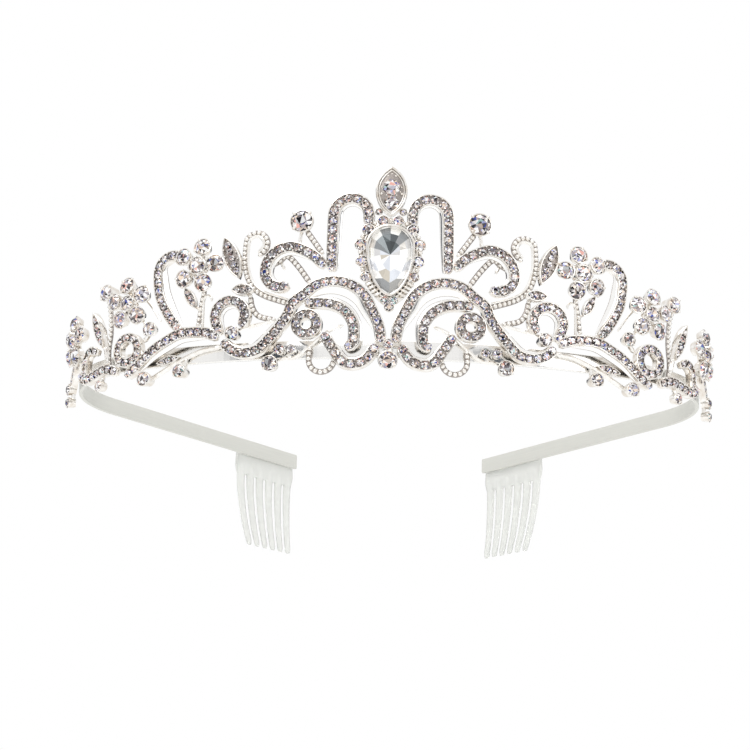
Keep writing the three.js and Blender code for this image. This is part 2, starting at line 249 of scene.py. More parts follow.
def node(tree, kind, inputs=None, **settings):
    """A new shader node with its settings and inputs."""
    made = tree.nodes.new("ShaderNode" + kind)
    for name, value in settings.items():
        setattr(made, name, value)
    wire_up(tree, made, inputs or {})
    return made


def mix_colours(tree, share, first, second, blend="MIX"):
    """The blend of two colours, each a value or a node's output."""
    mix = node(tree, "Mix", data_type="RGBA", blend_type=blend)
    first, second = (c if isinstance(c, bpy.types.NodeSocket) else (*c, 1) for c in (first, second))
    wire_up(tree, mix, {0: share, 6: first, 7: second})
    return mix.outputs[2]


def ramp(tree, share, steps, interpolation="LINEAR"):
    """The colour at a share, from steps of (position, colour)."""
    made = node(tree, "ValToRGB", {"Fac": share})
    made.color_ramp.interpolation = interpolation
    elements = made.color_ramp.elements
    for element, (position, tint) in zip(elements, (steps[0], steps[-1])):
        element.position, element.color = position, (*tint, 1)
    for position, tint in steps[1:-1]:
        elements.new(position).color = (*tint, 1)
    return made.outputs["Color"]


def object_place(tree):
    """The place on the object, in metres."""
    return node(tree, "TexCoord").outputs["Object"]


def finish(name, lay_out, *measures):
    """The finish of that name, laid out on its first use."""
    found = bpy.data.materials.get(name)
    if found:
        return found
    material = bpy.data.materials.new(name)
    material.use_nodes = True
    lay_out(material.node_tree, material.node_tree.nodes["Principled BSDF"], *measures)
    return material


def plating_group():
    """Silver plating: warm cloudy patches, fine polishing haze and a faint hammered skin."""
    found = bpy.data.node_groups.get("Silver plating")
    if found:
        return found
    group = bpy.data.node_groups.new("Silver plating", "ShaderNodeTree")
    for kind, name in (("Color", "Bright"), ("Color", "Warm"), ("Float", "Patch Scale"),
                       ("Float", "Gloss"), ("Float", "Skin")):
        group.interface.new_socket(name, in_out="INPUT", socket_type="NodeSocket" + kind)
    for kind, name in (("Color", "Color"), ("Float", "Roughness"), ("Vector", "Normal")):
        group.interface.new_socket(name, in_out="OUTPUT", socket_type="NodeSocket" + kind)
    given = group.nodes.new("NodeGroupInput").outputs
    place = object_place(group)
    patches = node(
        group, "TexNoise", {"Vector": place, "Scale": given["Patch Scale"], "Detail": 3})
    spread = ramp(group, patches.outputs["Fac"], ((0.30, (0, 0, 0)), (0.85, (1, 1, 1))))
    haze = node(group, "TexNoise", {"Vector": place, "Scale": 2500}).outputs["Fac"]
    rough = node(group, "Math", {0: haze, 1: given["Gloss"], 2: given["Gloss"]},
                 operation="MULTIPLY_ADD")
    skin = node(group, "Bump", {"Strength": given["Skin"], "Distance": 0.00005, "Height": haze})
    wire_up(group, group.nodes.new("NodeGroupOutput"), {
        "Color": mix_colours(group, spread, given["Bright"], given["Warm"]),
        "Roughness": rough.outputs["Value"],
        "Normal": skin.outputs["Normal"],
    })
    return group


def lay_plating(tree, shader, bright, warm, patch_scale, gloss, skin):
    """A plated metal from the plating group."""
    plating = node(tree, "Group", node_tree=plating_group())
    wire_up(tree, plating, {
        "Bright": (*bright, 1), "Warm": (*warm, 1), "Patch Scale": patch_scale, "Gloss": gloss,
        "Skin": skin})
    wire_up(tree, shader, {
        "Metallic": 1,
        "Base Color": plating.outputs["Color"],
        "Roughness": plating.outputs["Roughness"],
        "Normal": plating.outputs["Normal"],
    })


def lay_seat_painted_shade(tree, shader):
    """Plating darkened with painted shade, left bright on the side towards the wearer."""
    shadow = [0.6 * value for value in colours().seat]
    lay_plating(tree, shader, colours().seat, shadow, 1200, 0.22, 0.3)
    painted_shade_colour = shader.inputs["Base Color"].links[0].from_socket
    level = node(tree, "VectorMath", {0: object_place(tree), 1: (1, 1, 0)}, operation="MULTIPLY")
    facing = node(tree, "NewGeometry").outputs["True Normal"]
    outwards = node(tree, "VectorMath", {0: level.outputs["Vector"], 1: facing},
                    operation="DOT_PRODUCT")
    rear = node(tree, "MapRange", {
        "Value": outwards.outputs["Value"], "From Min": -0.020, "From Max": -0.045})
    wire_up(tree, shader, {"Base Color": mix_colours(
        tree, rear.outputs["Result"], painted_shade_colour, colours().silver)})


def lay_band(tree, shader):
    """Polished behind the ornament, satin along the arms, brushed lengthwise."""
    place = object_place(tree)
    depth = node(tree, "SeparateXYZ", {"Vector": place}).outputs["Y"]
    arms = node(tree, "MapRange", {
        "Value": depth, "From Min": -0.050, "From Max": -0.030}).outputs["Result"]
    stretch = node(tree, "Mapping", {"Vector": place, "Scale": (60, 60, 4000)})
    brushing = node(tree, "TexNoise", {
        "Vector": stretch.outputs["Vector"], "Scale": 1, "Detail": 4}).outputs["Fac"]
    tint = mix_colours(tree, arms, colours().silver, colours().satin)
    mirror = node(tree, "MapRange", {"Value": arms, "To Min": 1, "To Max": 0.1})
    satin = node(tree, "MapRange", {"Value": arms, "To Min": 0.14, "To Max": 0.46})
    grooves = node(tree, "Bump", {"Height": brushing, "Strength": 0.25, "Distance": 0.00003})
    wire_up(tree, shader, {
        "Base Color": mix_colours(tree, 0.12, tint, brushing, "MULTIPLY"),
        "Metallic": mirror.outputs["Result"],
        "Roughness": satin.outputs["Result"],
        "Normal": grooves.outputs["Normal"],
    })


def lay_rhinestone(tree, shader):
    """Foiled stones: every facet gets its own tone, a painted reflection, dark, tinted or a white
    glint, as such a stone throws light back unevenly.
    """
    cell = node(tree, "TexVoronoi", {"Vector": object_place(tree), "Scale": 700})
    facing = node(tree, "NewGeometry").outputs["True Normal"]
    turned = node(tree, "VectorMath", {0: facing, 1: (7, 7, 7), 2: cell.outputs["Color"]},
                  operation="MULTIPLY_ADD")
    chance = node(tree, "TexWhiteNoise", noise_dimensions="4D")
    wire_up(tree, chance, {"Vector": turned.outputs["Vector"], "W": 0})
    wire_up(tree, shader, {
        "Base Color": ramp(tree, chance.outputs["Value"], STONE_PAINTED_REFLECTIONS, "CONSTANT"),
        "Metallic": 0.65,
        "Roughness": 0.07,
        "Coat Weight": 0.5,
        "Coat Roughness": 0.02,
    })


def lay_crystal(tree, shader):
    """Cut glass: the tone of each facet, a painted reflection, is written on its face when it is cut.
    """
    tone = node(tree, "Attribute", attribute_name="painted_facet_light")
    wire_up(tree, shader, {
        "Base Color": ramp(tree, tone.outputs["Fac"], CRYSTAL_PAINTED_REFLECTIONS),
        "Metallic": 0.35,
        "Roughness": 0.04,
        "Coat Weight": 1,
        "Coat Roughness": 0.01,
    })


def lay_plastic(tree, shader):
    """Clear moulded plastic with a frosted skin."""
    haze = node(tree, "TexNoise", {
        "Vector": object_place(tree), "Scale": 350, "Detail": 3}).outputs["Fac"]
    frost = node(tree, "MapRange", {"Value": haze, "To Min": 0.14, "To Max": 0.30})
    skin = node(tree, "Bump", {"Height": haze, "Strength": 0.15, "Distance": 0.0001})
    wire_up(tree, shader, {
        "Base Color": mix_colours(tree, haze, colours().plastic, (0.84, 0.85, 0.82)),
        "Roughness": frost.outputs["Result"],
        "Normal": skin.outputs["Normal"],
        "Transmission Weight": 0.35,
        "IOR": 1.3,
    })


def lay_paper(tree, shader):
    """Matt pale paper with a faint fibre."""
    fibre = node(tree, "TexNoise", {"Vector": object_place(tree), "Scale": 60}).outputs["Fac"]
    wire_up(tree, shader, {
        "Base Color": mix_colours(tree, fibre, colours().floor, (0.93, 0.93, 0.92)),
        "Roughness": 0.9,
    })


def silver():
    """Bright silver plating of the castings."""
    return finish("silver_plating", lay_plating, colours().silver, colours().silver_warm,
                  650, 0.09, 0.12)


def polished_silver():
    """The brightest plating, on the flanges."""
    return finish("polished_silver", lay_plating, colours().silver, colours().silver,
                  650, 0.07, 0.05)


def beaded_silver():
    """Plating of the wires, a little warmer than the flanges."""
    warm = [0.5 * (a + b) for a, b in zip(colours().silver, colours().silver_warm)]
    return finish("wire_plating", lay_plating, colours().silver, warm, 900, 0.12, 0.1)


def seat_painted_shade():
    """Painted shade at the bottom of the settings."""
    return finish("seat_painted_shade", lay_seat_painted_shade)


def comb_plastic():
    """The frosted plastic of the combs."""
    return finish("clear_comb", lay_plastic)


# ---------------------------------------------------------------- the bench
def only(piece):
    """Selects one piece alone and makes it the one that is worked on."""
    bpy.ops.object.select_all(action="DESELECT")
    piece.select_set(True)
    bpy.context.view_layer.objects.active = piece


def new_primitive(add, **measures):
    """A primitive added alone, at its size and place."""
    bpy.ops.object.select_all(action="DESELECT")
    add(**measures)
    piece = bpy.context.object
    bpy.ops.object.transform_apply(location=True, rotation=True, scale=True)
    return piece


def placed(piece, location=(0, 0, 0), turn=(0, 0, 0), scale=(1, 1, 1)):
    """Puts a place, turn and scale into the piece's mesh."""
    only(piece)
    piece.location, piece.rotation_euler, piece.scale = location, turn, scale
    bpy.ops.object.transform_apply(location=True, rotation=True, scale=True)
    return piece


def pick(piece, kind, test):
    """Enters edit mode with the faces or edges that pass the test, by place and normal, selected."""
    only(piece)
    bpy.ops.object.mode_set(mode="EDIT")
    bpy.ops.mesh.select_mode(type=kind)
    bpy.ops.mesh.select_all(action="DESELECT")
    bpy.ops.object.mode_set(mode="OBJECT")
    if kind == "FACE":
        for face in piece.data.polygons:
            face.select = test(face.center, face.normal)
    else:
        spots = piece.data.vertices
        for edge in piece.data.edges:
            edge.select = test(spots[edge.vertices[0]].co, spots[edge.vertices[1]].co)
    bpy.ops.object.mode_set(mode="EDIT")


def edit_all(piece):
    """Enters edit mode with the whole piece selected."""
    only(piece)
    bpy.ops.object.mode_set(mode="EDIT")
    bpy.ops.mesh.select_all(action="SELECT")


def leave():
    """Leaves edit mode."""
    bpy.ops.object.mode_set(mode="OBJECT")


def bevel(piece, offset, segments, test):
    """Rounds the edges whose two ends pass the test, and leaves the new faces selected."""
    pick(piece, "EDGE", test)
    bpy.ops.mesh.bevel(offset=offset, segments=segments)
    leave()


def finish_in(piece, *materials):
    """Gives the piece its finishes; the second one, the painted shade, is for the seats."""
    for material in materials:
        piece.data.materials.append(material)
    return piece


def paint_picked(piece, slot):
    """Gives the selected faces the finish in that slot."""
    piece.active_material_index = slot
    bpy.ops.object.material_slot_assign()


def apply_modifier(piece, modifier):
    """Makes a modifier part of the mesh."""
    only(piece)
    bpy.ops.object.modifier_apply(modifier=modifier.name)


def copied(piece):
    """A copy with its own mesh."""
    twin = piece.copy()
    twin.data = piece.data.copy()
    bpy.context.scene.collection.objects.link(twin)
    return twin


def joined(parts, name):
    """Solders the parts into one piece."""
    bpy.ops.object.select_all(action="DESELECT")
    for part in parts:
        part.select_set(True)
    bpy.context.view_layer.objects.active = parts[0]
    if len(parts) > 1:
        bpy.ops.object.join()
    piece = bpy.context.object
    piece.name = name
    return piece


PATTERNS = {}


def pattern(name, make):
    """A shape that repeats: modelled once, kept off the scene, and copied."""
    if name not in PATTERNS:
        piece = make()
        piece.name = "pattern_" + name
        for shelf in list(piece.users_collection):
            shelf.objects.unlink(piece)
        PATTERNS[name] = piece
    return PATTERNS[name]


def from_pattern(source, place, turn=0.0, scale=(1, 1, 1), tilt=(0.0, 0.0)):
    """A copy of a pattern, turned in the drawing's plane, tilted out of it and put in place."""
    twin = copied(source)
    twin.data.transform(
        Matrix.Translation(place) @ Matrix.Rotation(tilt[0], 4, "X")
        @ Matrix.Rotation(tilt[1], 4, "Y") @ Matrix.Rotation(turn, 4, "Z")
        @ Matrix.Diagonal((*scale, 1)))
    return twin


# ---------------------------------------------------------------- paths and the band's plan
def smooth_path(points):
    """Evenly spaced points along the smooth curve through the drawn points."""
    drawn = [Vector(p) for p in points]
    last = len(drawn) - 1
    fine = []
    for i in range(last):
        a, b, c, d = (drawn[max(0, min(last, i + k))] for k in (-1, 0, 1, 2))
        for j in range(16):
            u = j / 16
            start, end = (c - a) / 2, (d - b) / 2
            fine.append((2 * b - 2 * c + start + end) * u ** 3
                        + (3 * c - 3 * b - 2 * start - end) * u * u + start * u + b)
    fine.append(drawn[last])
    runs = [0.0]
    for a, b in zip(fine, fine[1:]):
        runs.append(runs[-1] + (b - a).length)
    count = max(2, round(runs[-1] / PATH_STEP))
    even, at = [], 0
    for i in range(count + 1):
        run = runs[-1] * i / count
        while at < len(runs) - 2 and runs[at + 1] < run:
            at += 1
        share = (run - runs[at]) / max(runs[at + 1] - runs[at], 1e-9)
        even.append(fine[at].lerp(fine[at + 1], min(1.0, share)))
    return even


def length_of(path):
    """How long a path is."""
    return sum((b - a).length for a, b in zip(path, path[1:]))


def along(path, run):
    """The point and direction at a run along a path."""
    step = length_of(path) / (len(path) - 1)
    at = max(0.0, min(len(path) - 1.001, run / step))
    i = int(at)
    ahead = path[min(i + 2, len(path) - 1)] - path[max(i - 1, 0)]
    return path[i].lerp(path[i + 1], at - i), math.atan2(ahead.y, ahead.x)


def flat_curve(name, lines, widths=None, closed=False):
    """A flat curve along one or more lines of points, with its own width at each point."""
    data = bpy.data.curves.new(name, "CURVE")
    data.dimensions = "2D"
    for line in lines:
        spline = data.splines.new("POLY")
        spline.points.add(len(line) - 1)
        for i, point in enumerate(line):
            spline.points[i].co = (*point, 0, 1)
            if widths:
                spline.points[i].radius = widths[i]
        spline.use_cyclic_u = closed
    guide = bpy.data.objects.new(name, data)
    bpy.context.scene.collection.objects.link(guide)
    return guide


def bend_along(piece, guide):
    """Bends a piece that lies along X to follow the guide."""
    bend = piece.modifiers.new("bend", "CURVE")
    bend.object = guide
    bend.deform_axis = "POS_X"
    apply_modifier(piece, bend)
    return piece


def follow(piece, path, widths):
    """Bends a piece along a path, with its own width at each point."""
    guide = flat_curve("guide", (path,), widths)
    bend_along(piece, guide)
    bpy.data.objects.remove(guide)
    return piece


def half_length():
    """Arc length of half the band, in millimetres."""
    size = sizes()
    return (size.front_radius * size.front_angle
            + size.side_radius * (size.side_angle - size.front_angle) + size.arm_length) / MM


def plan_point(s):
    """The band's plan at an arc length from the front's middle, in millimetres."""
    size = sizes()
    front_radius, side_radius = size.front_radius / MM, size.side_radius / MM
    front = min(abs(s) / front_radius, size.front_angle)
    beyond = max(abs(s) - front_radius * size.front_angle, 0.0)
    turned = min(beyond / side_radius, size.side_angle - size.front_angle)
    straight = max(beyond - side_radius * (size.side_angle - size.front_angle), 0.0)
    heading = front + turned
    x = (front_radius * math.sin(front) + side_radius * (math.sin(heading) - math.sin(front))
         + straight * math.cos(heading))
    y = (front_radius * (1 - math.cos(front))
         + side_radius * (math.cos(front) - math.cos(heading)) + straight * math.sin(heading))
    depth = -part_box("headband")[0].y / MM - size.band_thickness / MM / 2
    return math.copysign(x, s), y - depth


def band_plan():
    """The guide that every flat piece is bent round."""
    found = bpy.data.objects.get("band_plan")
    if found:
        return found
    half = half_length()
    count = round(2 * half)
    path = [plan_point(-half + 2 * half * i / count) for i in range(count + 1)]
    return flat_curve("band_plan", (path,))


def set_piece(flat, name, nodes=(), smooth=True):
    """Bends a finished flat piece round the band, in metres, and sets it on the frame."""
    placed(flat, turn=(math.pi / 2, 0, 0))
    placed(flat, location=(half_length(), 0, 0))
    bend_along(flat, band_plan())
    placed(flat, scale=(MM, MM, MM))
    edit_all(flat)
    bpy.ops.mesh.normals_make_consistent(inside=False)
    leave()
    if smooth:
        bpy.ops.object.shade_smooth_by_angle(angle=math.radians(SMOOTH_ANGLE))
    flat.name = name
    flat.data.name = name
    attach(flat, "root")
    if nodes:
        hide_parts(*nodes)
    return flat


def set_middle(name, part, metal, stones, gem_name):
    """Sets a piece of the middle, as a setting and its stones."""
    set_piece(joined(metal, name), name, (part,))
    set_piece(joined(stones, gem_name), gem_name, smooth=False)


def set_pair(part, metal, stones):
    """Sets a side piece and its mirror copy, each as a setting and its stones."""
    body = joined(metal, part)
    gems = joined(stones, part + "_gems") if stones else None
    for side, flip in (("right_", 1), ("left_", -1)):
        last = flip < 0
        twin = body if last else copied(body)
        placed(twin, scale=(flip, 1, 1))
        set_piece(twin, side + part + "_setting", (side + part,))
        if gems:
            twin = gems if last else copied(gems)
            placed(twin, scale=(flip, 1, 1))
            set_piece(twin, side + part + "_stones", smooth=False)


# ---------------------------------------------------------------- repeated shapes
def make_stone():
    """A round stone of radius 1: table, poked crown facets and a pointed back."""
    stone = new_primitive(
        bpy.ops.mesh.primitive_cone_add, vertices=8, radius1=1, radius2=0.5, depth=0.46,
        location=(0, 0, 0.23))
    pick(stone, "FACE", lambda c, n: 0.05 < c.z < 0.4)
    bpy.ops.mesh.poke(offset=0.07)
    leave()
    pick(stone, "FACE", lambda c, n: n.z < -0.9)
    bpy.ops.mesh.extrude_region_move(TRANSFORM_OT_translate={"value": (0, 0, -0.6)})
    bpy.ops.mesh.merge(type="CENTER")
    leave()
    return finish_in(stone, finish("rhinestone", lay_rhinestone))


def make_bead(metal=silver):
    """A small round bead or grain of radius 1."""
    bead = new_primitive(
        bpy.ops.mesh.primitive_uv_sphere_add, segments=8, ring_count=5, radius=1)
    return finish_in(bead, metal())


def make_wire_bead():
    """A bead of a beaded wire, of radius 1."""
    return make_bead(beaded_silver)


def make_cup():
    """A cup of radius 1 and height 1 with a rim, a seat in painted shade and four claws."""
    cup = new_primitive(
        bpy.ops.mesh.primitive_cylinder_add, vertices=18, radius=1, depth=1, location=(0, 0, 0.5))
    finish_in(cup, silver(), seat_painted_shade())
    pick(cup, "FACE", lambda c, n: n.z < -0.9)
    bpy.ops.transform.resize(value=(0.72, 0.72, 1))
    leave()
    pick(cup, "FACE", lambda c, n: n.z > 0.9)
    bpy.ops.mesh.inset(thickness=0.13, depth=0)
    bpy.ops.mesh.inset(thickness=0.06, depth=-0.4)
    paint_picked(cup, 1)
    leave()
    bevel(cup, 0.06, 2, lambda a, b: min(a.z, b.z) > 0.99 and min(a.length, b.length) > 1.38)
    claws = []
    for i in range(4):
        angle = math.radians(45 + 90 * i)
        claws.append(from_pattern(
            pattern("bead", make_bead), (0.86 * math.cos(angle), 0.86 * math.sin(angle), 1.02),
            angle, (0.20, 0.13, 0.14)))
    return joined([cup] + claws, "cup")


def stone_at(s, h, out, radius, turn=0.0, tilt=(0.0, 0.0)):
    """A stone whose girdle lies at that distance out."""
    return from_pattern(pattern("stone", make_stone), (s, h, out), turn, (radius,) * 3, tilt)


def grain_at(s, h, out, radius):
    """A small round grain of metal."""
    return from_pattern(pattern("bead", make_bead), (s, h, out), 0, (radius,) * 3)


def cup_at(s, h, radius, back=BACK, front=CUP_FRONT, turn=0.0, tilt=(0.0, 0.0)):
    """A cup between those two distances out."""
    return from_pattern(
        pattern("cup", make_cup), (s, h, back), turn, (radius, radius, front - back), tilt)


def cupped_stone(s, h, radius, back=BACK, front=CUP_FRONT, turn=0.0, tilt=(0.0, 0.0)):
    """A stone in its cup: the parts for the setting, and the stone."""
    cup = cup_at(s, h, radius, back, front, turn, tilt)
    lift = Matrix.Rotation(tilt[0], 4, "X") @ Matrix.Rotation(tilt[1], 4, "Y") @ Vector(
        (0, 0, front - back - 0.1 * radius))
    stone = stone_at(s + lift.x, h + lift.y, back + lift.z, 0.9 * radius, turn + 0.2, tilt)
    return cup, stone


def cupped_stones(*spots, back=BACK, front=CUP_FRONT):
    """Stones in cups at spots of (s, h, radius): the cups, and the stones."""
    cups, stones = zip(*(cupped_stone(*spot, back, front) for spot in spots))
    return list(cups), list(stones)


# ---------------------------------------------------------------- castings
def flat_bar(length, width, depth, steps):
    """A bar along X with its long sides cut into steps; its top is left selected in edit mode."""
    bar = new_primitive(
        bpy.ops.mesh.primitive_grid_add, x_subdivisions=steps, y_subdivisions=1, size=1)
    edit_all(placed(bar, location=(length / 2, 0, 0), scale=(length, width, 1)))
    bpy.ops.mesh.extrude_region_move(TRANSFORM_OT_translate={"value": (0, 0, depth)})
    return bar


def end_widths(path, nose, least=0.5):
    """Relative width along a path whose ends are rounded over the length of the nose."""
    step = length_of(path) / (len(path) - 1)
    widths = []
    for i in range(len(path)):
        near = min(i, len(path) - 1 - i) * step
        share = min(1.0, near / nose)
        widths.append(max(least, math.sqrt(1 - (1 - share) ** 2)))
    return widths


def sink_seat(piece):
    """Cuts the stones' seat into the selected faces, inside a bright rim, gives it the painted shade
    of the seats, and leaves edit mode.
    """
    bpy.ops.mesh.inset(thickness=sizes().rim / MM, depth=0)
    bpy.ops.mesh.inset(thickness=0.06, depth=-sizes().seat_depth / MM)
    paint_picked(piece, 1)
    leave()


def channel(points, width, back=BACK, depth=DEPTH):
    """A casting along a path: bright rims and a sunk seat for one row of stones."""
    path = smooth_path(points)
    length = length_of(path)
    bar = flat_bar(length, width, depth, max(5, round(length / BAR_STEP)))
    finish_in(bar, silver(), seat_painted_shade())
    sink_seat(bar)
    bevel(bar, 0.14, 2, lambda a, b: (
        min(a.z, b.z) > depth - NEAR and min(abs(a.y), abs(b.y)) > width / 2 - NEAR
        and a.y * b.y > 0))
    follow(bar, path, end_widths(path, width / 2))
    return placed(bar, location=(0, 0, back))


def flange(points, start, stop, side, width, back):
    """A polished wall beside a row, widest half-way and leaning back from the row."""
    row = smooth_path(points)
    last = len(row) - 1
    path = row[round(start * last):round(stop * last) + 1]
    end = len(path) - 1
    shares = [max(0.0, math.sin(math.pi * i / end)) ** 0.7 for i in range(len(path))]
    reach = sizes().channel_width / MM / 2 - 0.2
    beside = []
    for i, spot in enumerate(path):
        ahead = path[min(i + 1, end)] - path[max(i - 1, 0)]
        across = Vector((-ahead.y, ahead.x)).normalized()
        beside.append(spot + across * side * (reach + 0.45 * width * shares[i]))
    length = length_of(beside)
    bar = flat_bar(length, width, 0.35, max(5, round(length / BAR_STEP)))
    leave()
    finish_in(bar, polished_silver(), seat_painted_shade())
    # The flange's rounded long edges take the seats' painted shade.
    pick(bar, "EDGE", lambda a, b: (
        abs(a.z - b.z) < NEAR and min(abs(a.y), abs(b.y)) > width / 2 - NEAR and a.y * b.y > 0))
    bpy.ops.mesh.bevel(offset=0.12, segments=2)
    paint_picked(bar, 1)
    leave()
    placed(bar, turn=(-side * math.radians(24), 0, 0))
    follow(bar, beside, [max(0.2, share) for share in shares])
    return placed(bar, location=(0, 0, back + 0.75))


def row_of_stones(points, width, back=BACK, depth=DEPTH, radius=None, pitch=None):
    """Stones along a channel, and the grains between them at both edges."""
    size = sizes()
    radius = radius or size.stone_radius / MM
    pitch = pitch or size.stone_pitch / MM
    path = smooth_path(points)
    length = length_of(path)
    room = length - 1.9 * radius
    count = max(1, int(room / pitch) + 1)
    gap = room / max(count - 1, 1)
    front = back + depth
    stones, grains = [], []
    for i in range(count):
        spot, heading = along(path, 0.95 * radius + gap * i)
        stones.append(stone_at(spot.x, spot.y, front - 0.22, radius, heading + 0.9 * i))
        if i:
            spot, heading = along(path, 0.95 * radius + gap * (i - 0.5))
            for edge in (-1, 1):
                reach = edge * (width / 2 - 0.36)
                grains.append(grain_at(
                    spot.x - reach * math.sin(heading), spot.y + reach * math.cos(heading),
                    front - 0.05, size.grain_radius / MM))
    return stones, grains


def ring_channel(centre, outer, hole, back):
    """A round casting with a hole, bright rims and a sunk seat."""
    ring = new_primitive(
        bpy.ops.mesh.primitive_cylinder_add, vertices=40, radius=outer, depth=DEPTH,
        location=(0, 0, DEPTH / 2))
    finish_in(ring, silver(), seat_painted_shade())
    pick(ring, "FACE", lambda c, n: abs(n.z) > 0.9)
    bpy.ops.mesh.inset(thickness=outer - hole, depth=0)
    bpy.ops.mesh.bridge_edge_loops()
    leave()
    pick(ring, "FACE", lambda c, n: n.z > 0.9)
    sink_seat(ring)
    bevel(ring, 0.12, 2, lambda a, b: min(a.z, b.z) > DEPTH - NEAR and (
        min(a.xy.length, b.xy.length) > outer - NEAR
        or max(a.xy.length, b.xy.length) < hole + NEAR))
    return placed(ring, location=(*centre, back))


def leaf_points(tip, foot, width, grow=0.0):
    """The outline of a leaf: two arcs that meet in points."""
    count = 14
    a, b = Vector(tip), Vector(foot)
    ahead = (b - a).normalized()
    across = Vector((-ahead.y, ahead.x))
    half, rise = (b - a).length / 2, width / 2
    radius = (half ** 2 + rise ** 2) / (2 * rise)
    offset = radius - rise
    radius += grow
    reach = math.sqrt(radius ** 2 - offset ** 2)
    middle = (a + b) / 2
    points = []
    for side in (1, -1):
        for i in range(count):
            run = -side * reach * math.cos(math.pi * i / count)
            out = max(math.sqrt(max(radius ** 2 - run ** 2, 0.0)) - offset, 0.0)
            points.append(tuple(middle + ahead * run + across * out * side))
    return points


def leaf(tip, foot, width, back=BACK, depth=DEPTH, rim=0.32, double=False):
    """A pointed setting: a sunk floor in painted shade inside a bright rim, or inside two."""
    front = back + depth
    floor = plate_of((leaf_points(tip, foot, width, -0.1),), back, front - 0.5, 0.05, seat_painted_shade())
    parts = [floor, plate_of(
        (leaf_points(tip, foot, width), leaf_points(tip, foot, width, -rim)), back, front, 0.07)]
    if double:
        parts.append(plate_of(
            (leaf_points(tip, foot, width, -rim - 0.1), leaf_points(tip, foot, width, -2 * rim)),
            back, front - 0.3, 0.06))
    return parts


def leaf_stones(tip, foot, width, count, back=BACK, depth=DEPTH):
    """Graded stones down the middle of a leaf, with grains beside them."""
    a, b = Vector(tip), Vector(foot)
    run = (b - a).length
    heading = math.atan2(b.y - a.y, b.x - a.x)
    across = Vector((-math.sin(heading), math.cos(heading)))
    shares = [(i + 0.5) / count for i in range(count)]
    parts, grains = [], []
    for i, share in enumerate(shares):
        share = 0.12 + 0.76 * share
        local = width * math.sin(math.pi * share) ** 0.8
        radius = min(0.39 * run * 0.76 / count + 0.12, 0.42 * local)
        spot = a.lerp(b, share)
        parts.append(stone_at(spot.x, spot.y, back + depth - 0.2, radius, heading + i))
        if i:
            between = a.lerp(b, share - 0.38 / count)
            for edge in (-1, 1):
                at = between + across * edge * (0.36 * local)
                grains.append(grain_at(at.x, at.y, back + depth - 0.08, 0.22))
    return parts, grains


def rod(points, radius, out=WIRE_OUT, taper=1.0, metal=None, squash=1.0, sides=8):
    """A round wire along a path, thinner towards its end by the taper."""
    path = smooth_path(points)
    length = length_of(path)
    wire = new_primitive(
        bpy.ops.mesh.primitive_cylinder_add, vertices=sides, radius=radius, depth=length,
        location=(length / 2, 0, 0), rotation=(0, math.pi / 2, 0))
    finish_in(wire, metal or beaded_silver())
    pick(wire, "EDGE", lambda a, b: abs(a.x - b.x) > 0.9 * length)
    bpy.ops.mesh.subdivide(number_cuts=max(1, round(length / 0.6)))
    leave()
    if squash != 1.0:
        placed(wire, scale=(1, 1, squash))
    last = len(path) - 1
    noses = end_widths(path, radius, 0.45)
    widths = [noses[i] * (1 + (taper - 1) * i / last) for i in range(len(path))]
    follow(wire, path, widths)
    return placed(wire, location=(0, 0, out))


def beaded(points):
    """A beaded wire: a thin strip, darkened with painted shade, with a row of beads on its face."""
    radius = sizes().bead_radius / MM
    path = smooth_path(points)
    length = length_of(path)
    count = max(2, round(length / (sizes().bead_pitch / MM)))
    beads = [rod(points, 0.62, WIRE_OUT - 0.1, metal=seat_painted_shade(), squash=0.5)]
    for i in range(count + 1):
        spot, heading = along(path, length * i / count)
        beads.append(from_pattern(
            pattern("wire_bead", make_wire_bead), (spot.x, spot.y, WIRE_OUT + 0.15), heading,
            (radius,) * 3))
    return beads


def pear_point(grow, angle):
    """A point on a pear's outline: a round head above, full sides that close to a tip below."""
    radius = PEAR_RADIUS + grow
    drop = PEAR_CENTRE - PEAR_TIP + PEAR_TIP_SPREAD * grow
    across, rise = math.cos(angle), math.sin(angle)
    if rise < 0:
        across = math.copysign(abs(across) ** PEAR_POINT, across)
    return radius * across, PEAR_CENTRE + (radius if rise > 0 else drop) * rise


def pear_points(grow):
    """The whole outline of a pear, from its tip."""
    count = 48
    return [pear_point(grow, 2 * math.pi * i / count - math.pi / 2) for i in range(count)]


def plate_of(outlines, back, front, edge=0.1, metal=None):
    """A flat plate with softened edges from closed outlines; an inner one is a hole."""
    guide = flat_curve("plate", outlines, closed=True)
    data = guide.data
    data.fill_mode = "BOTH"
    data.extrude = (front - back) / 2 - edge
    data.bevel_depth = edge
    data.bevel_resolution = 1
    data.offset = -edge
    only(guide)
    guide.location.z = (front + back) / 2
    bpy.ops.object.convert(target="MESH")
    plate = bpy.context.object
    bpy.ops.object.transform_apply(location=True, rotation=True, scale=True)
    edit_all(plate)
    bpy.ops.mesh.remove_doubles(threshold=0.002)
    leave()
    return finish_in(plate, metal or silver())


# ---------------------------------------------------------------- operators
class TIARA_OT_headband(bpy.types.Operator):
    """Make the sprung band, a flat strip on edge with softened edges"""

    bl_idname = "tiara.headband"
    bl_label = "Headband"

    def execute(self, context):
        size = sizes()
        half = half_length()
        height, thick = size.band_height / MM, size.band_thickness / MM
        strip = flat_bar(2 * half, height, thick, 270)
        leave()
        finish_in(strip, finish("satin_band", lay_band))
        bevel(strip, 0.5, 4, lambda a, b: (
            abs(a.x - b.x) < NEAR and abs(a.y - b.y) < NEAR and min(a.x, 2 * half - a.x) < NEAR))
        bevel(strip, 0.2, 3, lambda a, b: (
            abs(a.z - b.z) < NEAR and min(abs(a.y), abs(b.y)) > height / 2 - NEAR))
        placed(strip, location=(-half, height / 2, -thick / 2))
        set_piece(strip, "headband_strip", ("headband",))
        return {"FINISHED"}


